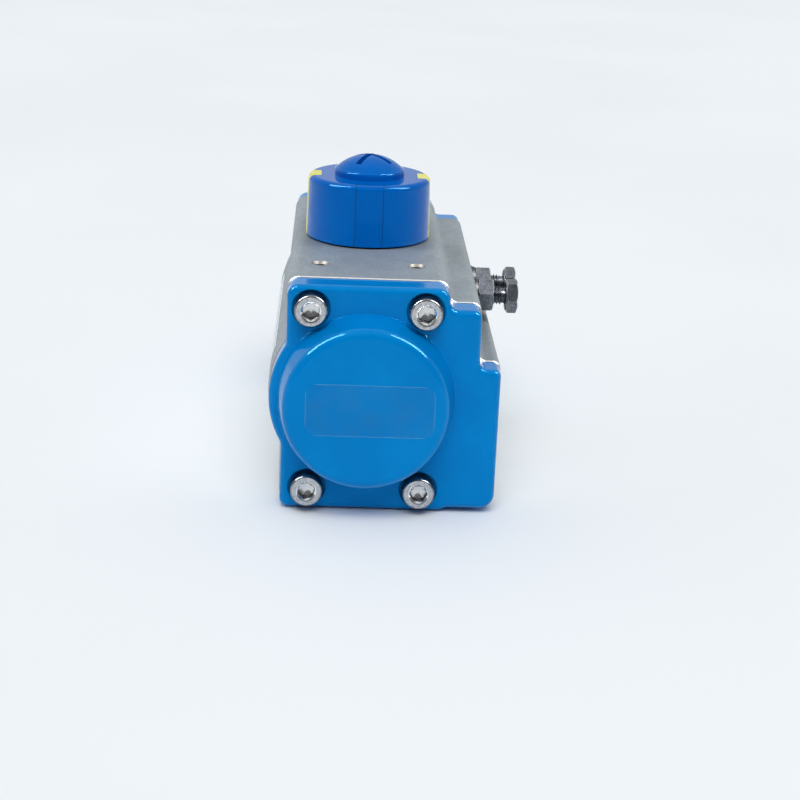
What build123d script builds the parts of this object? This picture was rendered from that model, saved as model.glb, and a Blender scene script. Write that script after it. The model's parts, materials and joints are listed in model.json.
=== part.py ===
"""Rack-and-pinion quarter-turn pneumatic actuator, double acting, in millimetres.

Frame: origin on the drive shaft's axis at the bottom mounting face, +Z up along the shaft,
+Y along the cylinder towards the far end cap, +X towards the air ports and the stop bolts.
Rest pose: valve closed, pistons together, yellow indicator stripes across the cylinder.
"""
from build123d import *
from math import acos, atan2, cos, degrees, hypot, pi, radians, sin, sqrt, tan
import os

# ---- driving dimensions --------------------------------------------------------------------

# housing extrusion
BODY_LENGTH = 113.0
BODY_HEIGHT = 72.0
TOP_HALF_WIDTH = 25.0
FOOT_LEFT = 26.0
SHOULDER_RIGHT = 34.8
PORT_FACE = 41.5
PORT_BLOCK_TOP = 47.0
SHOULDER_TOP = 65.5
PORT_BLOCK_FOOT = 1.0
BORE_RADIUS = 26.0
BORE_HEIGHT = 36.0
BULGE_RADIUS = 30.0
FOOT_BORE = 11.7
FOOT_BORE_TOP = 20.0
SPOT_FACE_RADIUS = 10.6
SPOT_FACE_BOTTOM = 50.0
SPOT_FACE_TOP = 62.0
BUSHING_BORE = 9.0
BUSHING_BORE_TOP = 68.5
NECK_BORE = 7.7
CAP_THREAD_END = 43.5
M5_DEPTH = 8.0
M6_DEPTH = 10.0
NAMUR_RIM = 2.85
PORT_RIM = 6.6
SOLENOID_RIM = 2.6

# end caps and their fasteners
CAP_INSET = 0.4
CAP_FLANGE = 9.5
CAP_EDGE = 1.9
DOME_HEIGHT = 10.7
DOME_ROOT = 27.4
DOME_TOP = 24.8
DOME_EDGE = 3.0
DOME_ROOT_FILLET = 0.25
KEY_RELIEF_RADIUS = 11.5
KEY_RELIEF_REACH = 26.6
CHAMBER_RADIUS = 22.5
CAP_SCREW_X = 17.3
CAP_SCREW_RISE = 28.65
COUNTERBORE_RADIUS = 5.75
COUNTERBORE_DEPTH = 2.0
COUNTERBORE_LIP = 0.4
CHAMBER_ROOF = 4.0
END_CHAMFER = 0.3
CAP_SCREW_LENGTH = 20.0
CAP_SCREW_TURNS = {(-1, 1): 30, (1, 1): 46, (-1, -1): 15, (1, -1): 0}
CAP_HEAD_RADIUS = 5.0
CAP_HEAD_HEIGHT = 6.0
CAP_HEX_SIZE = 5.0
CAP_HEX_DEPTH = 3.2
LABEL_WIDTH = 39.0
LABEL_HEIGHT = 16.3
LABEL_CORNER = 3.4
LABEL_THICKNESS = 0.12
NAMEPLATE_LENGTH = 88.0
NAMEPLATE_BOTTOM = 27.0
NAMEPLATE_TOP = 46.0
M6_RADIUS = 3.0
M5_TAP_RADIUS = 2.1
M6_TAP_RADIUS = 2.5
SEAL_WIDTH = 1.6
SEAL_DEPTH = 1.4
SEAL_BORE = 26.9

# air ways
PORT_TAP_RADIUS = 5.72
PORT_DEPTH = 11.5
PORT_HEIGHT = 25.0
PORT_SPACING = 24.0
SOLENOID_Y = 32.0
SOLENOID_Z = 24.0
AIRWAY_RADIUS = 2.0
CHANNEL_X = 31.5
CHANNEL_Z = 6.5

# mounting patterns
F05_CIRCLE = 50.0
F03_CIRCLE = 36.0
NAMUR_X = 30.0
NAMUR_Y = 80.0
SOCKET_SIZE = 11.0
SOCKET_DEPTH = 14.0

# gearing
GEAR_MODULE = 1.5
GEAR_TEETH = 12
PRESSURE_ANGLE = radians(20)
RACK_ADDENDUM = 1.0
FLANK_PLAY = 0.04
GEAR_BOTTOM = 26.0
GEAR_TOP = 46.0

# pistons, at rest
PISTON_FACE = 41.9
PISTON_THICKNESS = 14.0
PISTON_RADIUS = 25.7
SEAL_RUN_RADIUS = 25.94
ARM_RADIUS = 25.4
ARM_END = -23.3
ARM_BOTTOM = 26.5
ARM_TOP = 45.0
HEAD_POCKET_RADIUS = 17.0
HEAD_POCKET_DEPTH = 6.0
GUIDE_FROM, GUIDE_TO = 30.5, 33.5
GUIDE_ROOT = 24.0
SEAL_GROOVE_FROM, SEAL_GROOVE_TO = 36.7, 39.7
SEAL_GROOVE_ROOT = 23.3
PISTON_SEAL_SECTION = 1.3
SHOE_FROM, SHOE_TO = -19.0, 9.0
SHOE_BOTTOM, SHOE_TOP = 31.0, 41.0
SHOE_BACK = 22.95

# shaft
SHAFT_BOTTOM = 0.6
FOOT_JOURNAL = 11.4
FOOT_GROOVE = 9.6
FOOT_GROOVE_BOTTOM = 2.8
FOOT_GROOVE_TOP = 5.2
GUIDE_GROOVE = 10.2
GUIDE_GROOVE_BOTTOM = 7.0
GUIDE_GROOVE_TOP = 11.0
CORE_RADIUS = 10.9
TOP_JOURNAL = 7.4
OCTAGON_SIZE = 15.0
OCTAGON_BOTTOM = 50.0
OCTAGON_TOP = 60.4
SHAFT_TOP = 92.0
STUB_RADIUS = 6.9
STUB_FLATS = 11.0
NECK_TOP = 76.2
TOP_GROOVE = 5.6
TOP_GROOVE_BOTTOM = 69.0
TOP_GROOVE_TOP = 71.4
SNAP_GROOVE = 6.5
SNAP_GROOVE_BOTTOM = 74.0
SNAP_GROOVE_TOP = 75.25
SNAP_RING_RADIUS = 9.6
SNAP_EAR_Y = 10.0
SNAP_EAR_X = 2.2
SNAP_EYE = 0.9
WASHER_TOP = 73.98
BEARING_TOP = 73.0
TOP_BUSHING_END = 68.4

# travel stops
STOP_Y = 7.9
STOP_Z = 54.7
STOP_LENGTH = 35.0
STOP_HEAD = 4.0
STOP_HEAD_UNDERSIDE = {"near": 46.2, "far": 46.7}
STOP_HEAD_TURN = {"near": 3, "far": 25}
STOP_NUT_TURN = -18
HEX_SIZE = 10.0
WASHER_FACE = 37.0
NUT_FACE = 42.2
STOP_GAP = 0.05
STOP_HOLE_END = 12.0
STOP_POCKET_RADIUS = 4.7
STOP_POCKET_DEPTH = 1.5
STOP_WASHER_RADIUS = 5.4
CAM_RADIUS = 9.9
CAM_THICKNESS = 8.0

# position indicator
INDICATOR_BOTTOM = 72.6
INDICATOR_TOP = 92.35
INDICATOR_FOOT_RADIUS = 20.4
INDICATOR_TOP_RADIUS = 20.0
STRIPE_DEPTH_X = 15.7
STRIPE_WIDTH = 8.0
INSERT_WIDTH = 8.7
DOME_NUT_RADIUS = 11.4
DOME_NUT_TOP = 99.0
DOME_NUT_SPHERE = 15.7
DOME_NUT_SHOULDER = 10.8
DOME_NUT_RIM_TOP = 93.8
INDICATOR_RIM = 1.8
INDICATOR_HOLLOW = 14.2
INDICATOR_HOLLOW_TOP = 88.5
INDICATOR_HUB = 9.6
CROSS_SLOT_LENGTH = 15.6
CROSS_SLOT_WIDTH = 1.9
CROSS_SLOT_FLOOR = 96.0

SIDES = {"near": -1, "far": 1}
HALF = BODY_LENGTH / 2
PITCH_RADIUS = GEAR_MODULE * GEAR_TEETH / 2
TOOTH_PITCH = pi * GEAR_MODULE
RACK_ROOT = PITCH_RADIUS + 1.25 * GEAR_MODULE
RACK_TIP = PITCH_RADIUS - RACK_ADDENDUM


# ---- helpers ---------------------------------------------------------------------------------

def rod(radius, start, end):
    """A plain cylinder between two points."""
    run = Vector(*end) - Vector(*start)
    shape = Cylinder(radius, run.length, align=(Align.CENTER, Align.CENTER, Align.MIN))
    return Plane(origin=start, z_dir=run) * shape


def ring(outer, inner, start, end):
    """A plain tube between two points."""
    return rod(outer, start, end) - rod(inner, start, end)


def block(low, high):
    """A box from its lowest to its highest corner."""
    size = Vector(*high) - Vector(*low)
    return Pos(*low) * Box(size.X, size.Y, size.Z, align=Align.MIN)


def cone(radius, end_radius, start, end):
    """A cone frustum between two points."""
    run = Vector(*end) - Vector(*start)
    shape = Cone(radius, end_radius, run.length, align=(Align.CENTER, Align.CENTER, Align.MIN))
    return Plane(origin=start, z_dir=run) * shape


def countersunk_hole(radius, mouth, end, rim):
    """The cutter of a blind hole with a 45 degree rim at its mouth."""
    inward = (Vector(*end) - Vector(*mouth)).normalized()
    start = Vector(*mouth) - inward * 0.5
    depth = rim - radius
    foot = Vector(*mouth) + inward * depth
    return rod(radius, tuple(start), end) + cone(rim, radius, mouth, tuple(foot))


def flared_hole(radius, mouth, end, lip):
    """The cutter of a blind hole whose mouth is rounded over."""
    run = Vector(*end) - Vector(*mouth)
    bend = lip * (1 - sin(radians(45)))
    outline = [
        Line((0, -lip), (radius + lip, -lip)),
        Line((radius + lip, -lip), (radius + lip, 0)),
        ThreePointArc((radius + lip, 0), (radius + bend, bend), (radius, lip)),
        Line((radius, lip), (radius, run.length)),
        Line((radius, run.length), (0, run.length)),
        Line((0, run.length), (0, -lip)),
    ]
    cutter = revolve(make_face(Plane.XZ * Wire(outline)), Axis.Z)
    return Plane(origin=mouth, z_dir=run) * cutter


def round_corners(sketch, corners):
    """Round the sketch's vertex nearest to each (x, y, radius)."""
    for x, y, radius in corners:
        corner = min(sketch.vertices(), key=lambda v: (v.X - x) ** 2 + (v.Y - y) ** 2)
        sketch = fillet(corner, radius)
    return sketch


def turned(outline):
    """A solid of revolution about Z from its (radius, height) outline."""
    face = make_face(Plane.XZ * Polyline(*outline, close=True))
    return revolve(face, Axis.Z)


def around_z(radius, count, first_angle):
    """Points evenly spaced on a circle about the shaft."""
    angles = [radians(first_angle) + 2 * pi * i / count for i in range(count)]
    return [(radius * cos(a), radius * sin(a)) for a in angles]


def o_ring(centre, axis, mean_radius, section_radius):
    """A round-section rubber ring."""
    return Plane(origin=centre, z_dir=axis) * Torus(mean_radius, section_radius)


def hexagon(size, turn=0.0):
    """A hexagon by its width across flats, one flat square to local +Y when turn is 0."""
    return RegularPolygon(size / 2, 6, major_radius=False, rotation=turn)


# ---- housing ---------------------------------------------------------------------------------

def housing_outline():
    """The extrusion's section in X and Z: stepped on the port side, bulged on the other."""
    points = [
        (-FOOT_LEFT, 0), (24.3, 0), (26.5, PORT_BLOCK_FOOT), (PORT_FACE, PORT_BLOCK_FOOT),
        (PORT_FACE, PORT_BLOCK_TOP), (SHOULDER_RIGHT, PORT_BLOCK_TOP),
        (SHOULDER_RIGHT, SHOULDER_TOP), (TOP_HALF_WIDTH, SHOULDER_TOP),
        (TOP_HALF_WIDTH, BODY_HEIGHT), (-TOP_HALF_WIDTH, BODY_HEIGHT),
        (-TOP_HALF_WIDTH, BORE_HEIGHT), (-FOOT_LEFT, BORE_HEIGHT),
    ]
    section = make_face(Polyline(*points, close=True)) + Pos(0, BORE_HEIGHT) * Circle(BULGE_RADIUS)
    bulge_above = BORE_HEIGHT + sqrt(BULGE_RADIUS ** 2 - TOP_HALF_WIDTH ** 2)
    bulge_below = BORE_HEIGHT - sqrt(BULGE_RADIUS ** 2 - FOOT_LEFT ** 2)
    return round_corners(section, [
        (-FOOT_LEFT, 0, 3.0), (24.3, 0, 4.0), (26.5, PORT_BLOCK_FOOT, 2.5),
        (PORT_FACE, PORT_BLOCK_FOOT, 5.0), (PORT_FACE, PORT_BLOCK_TOP, 2.6),
        (SHOULDER_RIGHT, PORT_BLOCK_TOP, 2.2), (SHOULDER_RIGHT, SHOULDER_TOP, 3.0),
        (TOP_HALF_WIDTH, SHOULDER_TOP, 2.2), (TOP_HALF_WIDTH, BODY_HEIGHT, 4.0),
        (-TOP_HALF_WIDTH, BODY_HEIGHT, 4.0), (-TOP_HALF_WIDTH, bulge_above, 3.0),
        (-FOOT_LEFT, bulge_below, 3.0),
    ])


def cap_screw_places():
    """X and Z of the four cap screws round the bore."""
    return [(sx * CAP_SCREW_X, BORE_HEIGHT + sz * CAP_SCREW_RISE) for sx in (-1, 1) for sz in (-1, 1)]


def stop_axis(side, x):
    """A point on a stop bolt's axis."""
    return (x, SIDES[side] * STOP_Y, STOP_Z)


def body():
    """The extruded aluminium housing with its bores, threaded holes and air ways."""
    solid = extrude(Plane.XZ.offset(-HALF) * housing_outline(), BODY_LENGTH)
    end_faces = solid.faces().sort_by(Axis.Y)
    solid = chamfer(end_faces[0].edges() + end_faces[-1].edges(), END_CHAMFER)
    solid -= rod(BORE_RADIUS, (0, -HALF - 1, BORE_HEIGHT), (0, HALF + 1, BORE_HEIGHT))

    # shaft bores: open foot bore, spot face under the top wall, bushing bore and neck
    solid -= rod(FOOT_BORE, (0, 0, -1), (0, 0, FOOT_BORE_TOP))
    solid -= rod(SPOT_FACE_RADIUS, (0, 0, SPOT_FACE_BOTTOM), (0, 0, SPOT_FACE_TOP))
    solid -= rod(BUSHING_BORE, (0, 0, SPOT_FACE_TOP - 1), (0, 0, BUSHING_BORE_TOP))
    solid -= rod(NECK_BORE, (0, 0, BUSHING_BORE_TOP - 0.5), (0, 0, BODY_HEIGHT + 1))

    # cap screw threads
    for x, z in cap_screw_places():
        for s in SIDES.values():
            solid -= rod(M6_RADIUS, (x, s * (HALF + 1), z), (x, s * CAP_THREAD_END, z))

    # accessory pattern on top and valve flange patterns on the foot
    for x in (-NAMUR_X / 2, NAMUR_X / 2):
        for y in (-NAMUR_Y / 2, NAMUR_Y / 2):
            mouth = (x, y, BODY_HEIGHT)
            solid -= countersunk_hole(M5_TAP_RADIUS, mouth, (x, y, BODY_HEIGHT - M5_DEPTH), NAMUR_RIM)
    for x, y in around_z(F05_CIRCLE / 2, 4, 45):
        solid -= rod(M6_TAP_RADIUS, (x, y, -1), (x, y, M6_DEPTH))
    for x, y in around_z(F03_CIRCLE / 2, 4, 45):
        solid -= rod(M5_TAP_RADIUS, (x, y, -1), (x, y, M5_DEPTH))

    # air ports, one into the bore's middle, one down to the channel that feeds both ends
    port_foot = PORT_FACE - PORT_DEPTH
    for y in (-PORT_SPACING / 2, PORT_SPACING / 2):
        mouth = (PORT_FACE, y, PORT_HEIGHT)
        solid -= countersunk_hole(PORT_TAP_RADIUS, mouth, (port_foot, y, PORT_HEIGHT), PORT_RIM)
    middle_y = -PORT_SPACING / 2
    solid -= rod(AIRWAY_RADIUS, (port_foot + 1, middle_y, PORT_HEIGHT), (20, middle_y, PORT_HEIGHT))
    ends_y = PORT_SPACING / 2
    solid -= rod(AIRWAY_RADIUS, (CHANNEL_X, ends_y, PORT_HEIGHT), (CHANNEL_X, ends_y, CHANNEL_Z))
    solid -= rod(AIRWAY_RADIUS, (CHANNEL_X, -HALF - 1, CHANNEL_Z), (CHANNEL_X, HALF + 1, CHANNEL_Z))

    # pilot valve screws round the ports
    for y in (-SOLENOID_Y / 2, SOLENOID_Y / 2):
        for z in (PORT_HEIGHT - SOLENOID_Z / 2, PORT_HEIGHT + SOLENOID_Z / 2):
            mouth = (PORT_FACE, y, z)
            solid -= countersunk_hole(M5_TAP_RADIUS, mouth, (PORT_FACE - M5_DEPTH, y, z), SOLENOID_RIM)

    # stop bolt threads, each with a pocket for its seal
    for side in SIDES:
        outside = stop_axis(side, SHOULDER_RIGHT + 1)
        solid -= rod(M6_RADIUS + 0.05, outside, stop_axis(side, STOP_HOLE_END))
        solid -= rod(STOP_POCKET_RADIUS, outside, stop_axis(side, SHOULDER_RIGHT - STOP_POCKET_DEPTH))
    return solid


def channel_lobe(half_width, reach):
    """The slot in X and Z that leads from the bore's axis out over the end channel."""
    dx = CHANNEL_X
    dz = CHANNEL_Z - BORE_HEIGHT
    distance = sqrt(dx ** 2 + dz ** 2)
    centre = (dx * reach, BORE_HEIGHT + dz * reach)
    angle = degrees(atan2(dz, dx))
    length = 2 * distance * (1 - reach)
    return Pos(*centre) * Rot(0, 0, angle) * SlotCenterToCenter(length, half_width * 2)


def seal_outline():
    """The inner edge of the cap seal: the bore's circle with a lobe round the channel."""
    shape = Pos(0, BORE_HEIGHT) * Circle(SEAL_BORE) + channel_lobe(AIRWAY_RADIUS + 0.8, 0.75)
    near_circle = [v for v in shape.vertices() if Vector(v.X, v.Y - BORE_HEIGHT).length < SEAL_BORE + 0.1]
    concave = [v for v in near_circle if v.Y < BORE_HEIGHT - 2]
    return fillet(concave, 1.5)


def seal_ring(outward, inward, thickness):
    """A band along the seal's line, from the joint face out into the near cap."""
    line = seal_outline()
    band = offset(line, outward) - offset(line, -inward)
    return extrude(Plane.XZ.offset(HALF) * band, thickness)


def mirrored(solid, side):
    """The near-end piece itself, or its mirror image for the far end."""
    return solid if side == "near" else mirror(solid, Plane.XZ)


def end_cap(side):
    """The cast end cap: a flange that continues the housing's outline and a round dome."""
    outline = offset(housing_outline(), -CAP_INSET)
    flange = extrude(Plane.XZ.offset(HALF) * outline, CAP_FLANGE)
    outer_face = flange.faces().sort_by(Axis.Y)[0]
    flange = fillet(outer_face.edges(), CAP_EDGE)

    face_y = HALF + CAP_FLANGE
    top_y = face_y + DOME_HEIGHT
    draft = (DOME_ROOT - DOME_TOP) / DOME_HEIGHT
    sunk = 3.0
    foot = (0, -face_y + sunk, BORE_HEIGHT)
    dome = cone(DOME_ROOT + sunk * draft, DOME_TOP, foot, (0, -top_y, BORE_HEIGHT))
    dome = fillet(dome.edges().sort_by(Axis.Y)[0], DOME_EDGE)
    cap = flange + dome
    rings = [e for e in cap.edges().filter_by(GeomType.CIRCLE) if abs(e.radius - DOME_ROOT) < 0.01]
    cap = fillet(rings, DOME_ROOT_FILLET)

    cap -= rod(CHAMBER_RADIUS, (0, -HALF + 1, BORE_HEIGHT), (0, -top_y + CHAMBER_ROOF, BORE_HEIGHT))
    cap -= extrude(Plane.XZ.offset(HALF) * channel_lobe(AIRWAY_RADIUS, 0.75), 4)
    cap -= seal_ring(SEAL_WIDTH + 0.05, 0.05, SEAL_DEPTH + 0.1)
    for x, z in cap_screw_places():
        cap -= rod(M6_RADIUS + 0.3, (x, -HALF + 1, z), (x, -face_y - 1, z))
        seat = (x, -face_y + COUNTERBORE_DEPTH, z)
        cap -= flared_hole(COUNTERBORE_RADIUS, (x, -face_y, z), seat, COUNTERBORE_LIP)
        away = (KEY_RELIEF_REACH + KEY_RELIEF_RADIUS) / hypot(x, z - BORE_HEIGHT)
        relief_x, relief_z = x * away, BORE_HEIGHT + (z - BORE_HEIGHT) * away
        cap -= rod(KEY_RELIEF_RADIUS, (relief_x, -face_y, relief_z), (relief_x, -top_y - 1, relief_z))
    return mirrored(cap, side)


def end_cap_seal(side):
    """The moulded rubber seal between housing and cap."""
    return mirrored(seal_ring(SEAL_WIDTH, 0, SEAL_DEPTH), side)


def cap_screw(x, z, turn):
    """One M6 socket head screw of the near cap."""
    seat = HALF + CAP_FLANGE - COUNTERBORE_DEPTH
    top = seat + CAP_HEAD_HEIGHT
    head = rod(CAP_HEAD_RADIUS, (x, -seat, z), (x, -top, z))
    head = chamfer(head.edges().sort_by(Axis.Y)[0], 0.45)
    recess = Pos(x, z) * hexagon(CAP_HEX_SIZE, turn)
    head -= extrude(Plane.XZ.offset(top - CAP_HEX_DEPTH) * recess, CAP_HEX_DEPTH + 1)
    head -= cone(2.2, 3.05, (x, -top + 0.75, z), (x, -top - 0.1, z))
    shank = rod(M6_RADIUS - 0.05, (x, -seat, z), (x, -seat + CAP_SCREW_LENGTH, z))
    return head + chamfer(shank.edges().sort_by(Axis.Y)[-1], 0.6)


def end_cap_screws(side):
    """The four socket head screws that hold one cap."""
    screws = []
    for (sx, sz), turn in CAP_SCREW_TURNS.items():
        screws.append(cap_screw(sx * CAP_SCREW_X, BORE_HEIGHT + sz * CAP_SCREW_RISE, turn))
    return mirrored(Compound(children=screws), side)


def cap_label():
    """A blank clear label on the near dome."""
    outline = Pos(1.3, BORE_HEIGHT + 0.15) * RectangleRounded(LABEL_WIDTH, LABEL_HEIGHT, LABEL_CORNER)
    return extrude(Plane.XZ.offset(HALF + CAP_FLANGE + DOME_HEIGHT) * outline, LABEL_THICKNESS)


def nameplate():
    """A blank foil plate round the bulge on the plain side."""
    y = NAMEPLATE_LENGTH / 2
    plate = ring(BULGE_RADIUS + 0.15, BULGE_RADIUS, (0, -y, BORE_HEIGHT), (0, y, BORE_HEIGHT))
    return plate & block((-40, -y, NAMEPLATE_BOTTOM), (-20, y, NAMEPLATE_TOP))


# ---- travel stops ----------------------------------------------------------------------------

def hex_prism(side, x_from, x_to, turn):
    """A bright hexagon along X, its outer corners chamfered at both ends."""
    plane = Plane(origin=stop_axis(side, x_from), x_dir=(0, 1, 0), z_dir=(1, 0, 0))
    prism = plane * extrude(hexagon(HEX_SIZE, turn), x_to - x_from)
    corner = HEX_SIZE / sqrt(3)
    turned_bar = rod(corner, stop_axis(side, x_from), stop_axis(side, x_to))
    ends = turned_bar.edges().filter_by(GeomType.CIRCLE)
    turned_bar = chamfer(ends, 0.45, 0.9)
    return prism & turned_bar


def stop_bolt(side):
    """A hexagon head set bolt; its tip is the stop that the cam meets."""
    underside = STOP_HEAD_UNDERSIDE[side]
    head = hex_prism(side, underside + 0.25, underside + STOP_HEAD, STOP_HEAD_TURN[side])
    washer_face = rod(4.7, stop_axis(side, underside), stop_axis(side, underside + 0.25))
    shank = rod(M6_RADIUS, stop_axis(side, underside), stop_axis(side, underside - STOP_LENGTH))
    shank = chamfer(shank.edges().sort_by(Axis.X)[0], 0.5)
    return head + washer_face + shank


def stop_nut(side):
    """The lock nut of a stop bolt."""
    nut = hex_prism(side, WASHER_FACE, NUT_FACE, STOP_NUT_TURN)
    nut -= rod(M6_RADIUS + 0.05, stop_axis(side, WASHER_FACE - 1), stop_axis(side, NUT_FACE + 1))
    return nut - cone(M6_RADIUS, 3.7, stop_axis(side, NUT_FACE - 0.6), stop_axis(side, NUT_FACE + 0.1))


def stop_washer(side):
    """The washer between lock nut and housing."""
    start, end = stop_axis(side, SHOULDER_RIGHT), stop_axis(side, WASHER_FACE)
    return ring(STOP_WASHER_RADIUS, M6_RADIUS + 0.2, start, end)


def stop_seal(side):
    """The rubber ring round a stop bolt in the housing's pocket."""
    section = STOP_POCKET_DEPTH / 2 - 0.01
    return o_ring(stop_axis(side, SHOULDER_RIGHT - STOP_POCKET_DEPTH / 2), (1, 0, 0), 3.87, section)


def stop_cam():
    """The cam on the shaft: one lobe meets the far bolt when closed, one the near when open."""
    closed_face = STOP_HEAD_UNDERSIDE["far"] - STOP_LENGTH - STOP_GAP
    open_face = STOP_HEAD_UNDERSIDE["near"] - STOP_LENGTH - STOP_GAP
    lobe_edge = STOP_Y + M6_RADIUS
    lobes = Pos(closed_face / 2, (2.5 + lobe_edge) / 2) * Rectangle(closed_face, lobe_edge - 2.5)
    lobes += Pos(-(2.5 + lobe_edge) / 2, -open_face / 2) * Rectangle(lobe_edge - 2.5, open_face)
    shape = Circle(CAM_RADIUS) + lobes
    shape = round_corners(shape, [
        (closed_face, lobe_edge, 1.0), (closed_face, 2.5, 0.6),
        (-lobe_edge, -open_face, 1.0), (-2.5, -open_face, 0.6),
    ])
    hub = Pos(0, 0, OCTAGON_BOTTOM) * extrude(Circle(CAM_RADIUS), OCTAGON_TOP - OCTAGON_BOTTOM)
    cam = hub + Pos(0, 0, OCTAGON_BOTTOM + 0.5) * extrude(shape, CAM_THICKNESS)
    hole = RegularPolygon(OCTAGON_SIZE / 2 + 0.03, 8, major_radius=False, rotation=22.5)
    return cam - Pos(0, 0, OCTAGON_BOTTOM) * extrude(hole, OCTAGON_TOP - OCTAGON_BOTTOM)


# ---- drive shaft -----------------------------------------------------------------------------

def involute(angle):
    """The involute function."""
    return tan(angle) - angle


def pinion():
    """The spur gear section, one tooth centred on +X."""
    base = PITCH_RADIUS * cos(PRESSURE_ANGLE)
    root = PITCH_RADIUS - RACK_ADDENDUM - 0.25 * GEAR_MODULE
    tip = PITCH_RADIUS + GEAR_MODULE
    half_at_pitch = pi / (2 * GEAR_TEETH) - FLANK_PLAY / PITCH_RADIUS
    radii = [base + (tip - base) * i / 6 for i in range(7)]

    def flank_angle(radius):
        return half_at_pitch + involute(PRESSURE_ANGLE) - involute(acos(min(1, base / radius)))

    def at(radius, angle):
        return (radius * cos(angle), radius * sin(angle))

    edges = []
    step = 2 * pi / GEAR_TEETH
    for i in range(GEAR_TEETH):
        middle = i * step
        rising = [at(r, middle - flank_angle(r)) for r in radii]
        falling = [at(r, middle + flank_angle(r)) for r in reversed(radii)]
        root_half = flank_angle(base)
        edges.append(Line(at(root, middle - root_half), rising[0]))
        edges.append(Spline(*rising))
        edges.append(ThreePointArc(rising[-1], at(tip, middle), falling[0]))
        edges.append(Spline(*falling))
        edges.append(Line(falling[-1], at(root, middle + root_half)))
        gap_middle = at(root, middle + step / 2)
        next_foot = at(root, middle + step - root_half)
        edges.append(ThreePointArc(at(root, middle + root_half), gap_middle, next_foot))
    return make_face(Wire(edges))


def drive_shaft():
    """The steel pinion shaft: star socket at the foot, gear, cam octagon and top stub."""
    lower = turned([
        (0, SHAFT_BOTTOM), (FOOT_JOURNAL - 0.5, SHAFT_BOTTOM), (FOOT_JOURNAL, SHAFT_BOTTOM + 0.5),
        (FOOT_JOURNAL, FOOT_GROOVE_BOTTOM), (FOOT_GROOVE, FOOT_GROOVE_BOTTOM),
        (FOOT_GROOVE, FOOT_GROOVE_TOP), (FOOT_JOURNAL, FOOT_GROOVE_TOP),
        (FOOT_JOURNAL, GUIDE_GROOVE_BOTTOM), (GUIDE_GROOVE, GUIDE_GROOVE_BOTTOM),
        (GUIDE_GROOVE, GUIDE_GROOVE_TOP), (FOOT_JOURNAL, GUIDE_GROOVE_TOP),
        (FOOT_JOURNAL, 13.5), (CORE_RADIUS, 14.0), (CORE_RADIUS, GEAR_BOTTOM), (0, GEAR_BOTTOM),
    ])
    gear = Pos(0, 0, GEAR_BOTTOM) * extrude(pinion(), GEAR_TOP - GEAR_BOTTOM)
    shoulder = rod(10.0, (0, 0, GEAR_TOP), (0, 0, OCTAGON_BOTTOM))
    octagon = RegularPolygon(OCTAGON_SIZE / 2, 8, major_radius=False, rotation=22.5)
    cam_seat = Pos(0, 0, OCTAGON_BOTTOM) * extrude(octagon, OCTAGON_TOP - OCTAGON_BOTTOM)
    upper = turned([
        (0, OCTAGON_TOP), (TOP_JOURNAL, OCTAGON_TOP), (TOP_JOURNAL, TOP_GROOVE_BOTTOM),
        (TOP_GROOVE, TOP_GROOVE_BOTTOM), (TOP_GROOVE, TOP_GROOVE_TOP), (TOP_JOURNAL, TOP_GROOVE_TOP),
        (TOP_JOURNAL, SNAP_GROOVE_BOTTOM), (SNAP_GROOVE, SNAP_GROOVE_BOTTOM),
        (SNAP_GROOVE, SNAP_GROOVE_TOP), (TOP_JOURNAL, SNAP_GROOVE_TOP),
        (TOP_JOURNAL, NECK_TOP), (STUB_RADIUS, NECK_TOP), (STUB_RADIUS, SHAFT_TOP), (0, SHAFT_TOP),
    ])
    shaft = lower + gear + shoulder + cam_seat + upper

    for s in (-1, 1):
        flat = block((-10, STUB_FLATS / 2, NECK_TOP), (10, 10, SHAFT_TOP + 1))
        shaft -= flat if s > 0 else mirror(flat, Plane.XZ)
    shaft -= rod(M6_RADIUS, (0, 0, SHAFT_TOP - 16), (0, 0, SHAFT_TOP + 1))
    shaft -= block((-8, -2, SHAFT_TOP - 4), (8, 2, SHAFT_TOP + 1))

    socket = Rectangle(SOCKET_SIZE, SOCKET_SIZE) + Rot(0, 0, 45) * Rectangle(SOCKET_SIZE, SOCKET_SIZE)
    shaft -= Pos(0, 0, SHAFT_BOTTOM - 1) * extrude(socket, SOCKET_DEPTH + 1)
    return shaft


def snap_ring():
    """The open retaining ring in the shaft's groove."""
    low, high = SNAP_GROOVE_BOTTOM + 0.05, SNAP_GROOVE_TOP - 0.05
    band = ring(SNAP_RING_RADIUS, SNAP_GROOVE + 0.05, (0, 0, low), (0, 0, high))
    ears = block((-3.4, 7.6, low), (3.4, 11.6, high))
    for x in (-SNAP_EAR_X, SNAP_EAR_X):
        ears -= rod(SNAP_EYE, (x, SNAP_EAR_Y, low - 1), (x, SNAP_EAR_Y, high + 1))
    return band + ears - block((-0.9, 5, low - 1), (0.9, 12, high + 1))


def shaft_bushing_top():
    """The flanged plastic bushing in the top wall."""
    flange = rod(SPOT_FACE_RADIUS - 0.1, (0, 0, OCTAGON_TOP + 0.1), (0, 0, SPOT_FACE_TOP - 0.03))
    sleeve = rod(BUSHING_BORE - 0.05, (0, 0, SPOT_FACE_TOP - 1), (0, 0, TOP_BUSHING_END))
    return flange + sleeve - rod(TOP_JOURNAL + 0.05, (0, 0, OCTAGON_TOP), (0, 0, BUSHING_BORE_TOP))


def shaft_guide_ring():
    """The plastic slide ring round the shaft's foot."""
    start, end = (0, 0, GUIDE_GROOVE_BOTTOM + 0.05), (0, 0, GUIDE_GROOVE_TOP - 0.05)
    return ring(FOOT_BORE - 0.05, GUIDE_GROOVE + 0.05, start, end)


def shaft_o_ring(bottom, top, groove):
    """A rubber ring in one of the shaft's grooves."""
    section = 1.0
    return o_ring((0, 0, (bottom + top) / 2), (0, 0, 1), groove + section + 0.03, section)


# ---- pistons ---------------------------------------------------------------------------------

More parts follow.
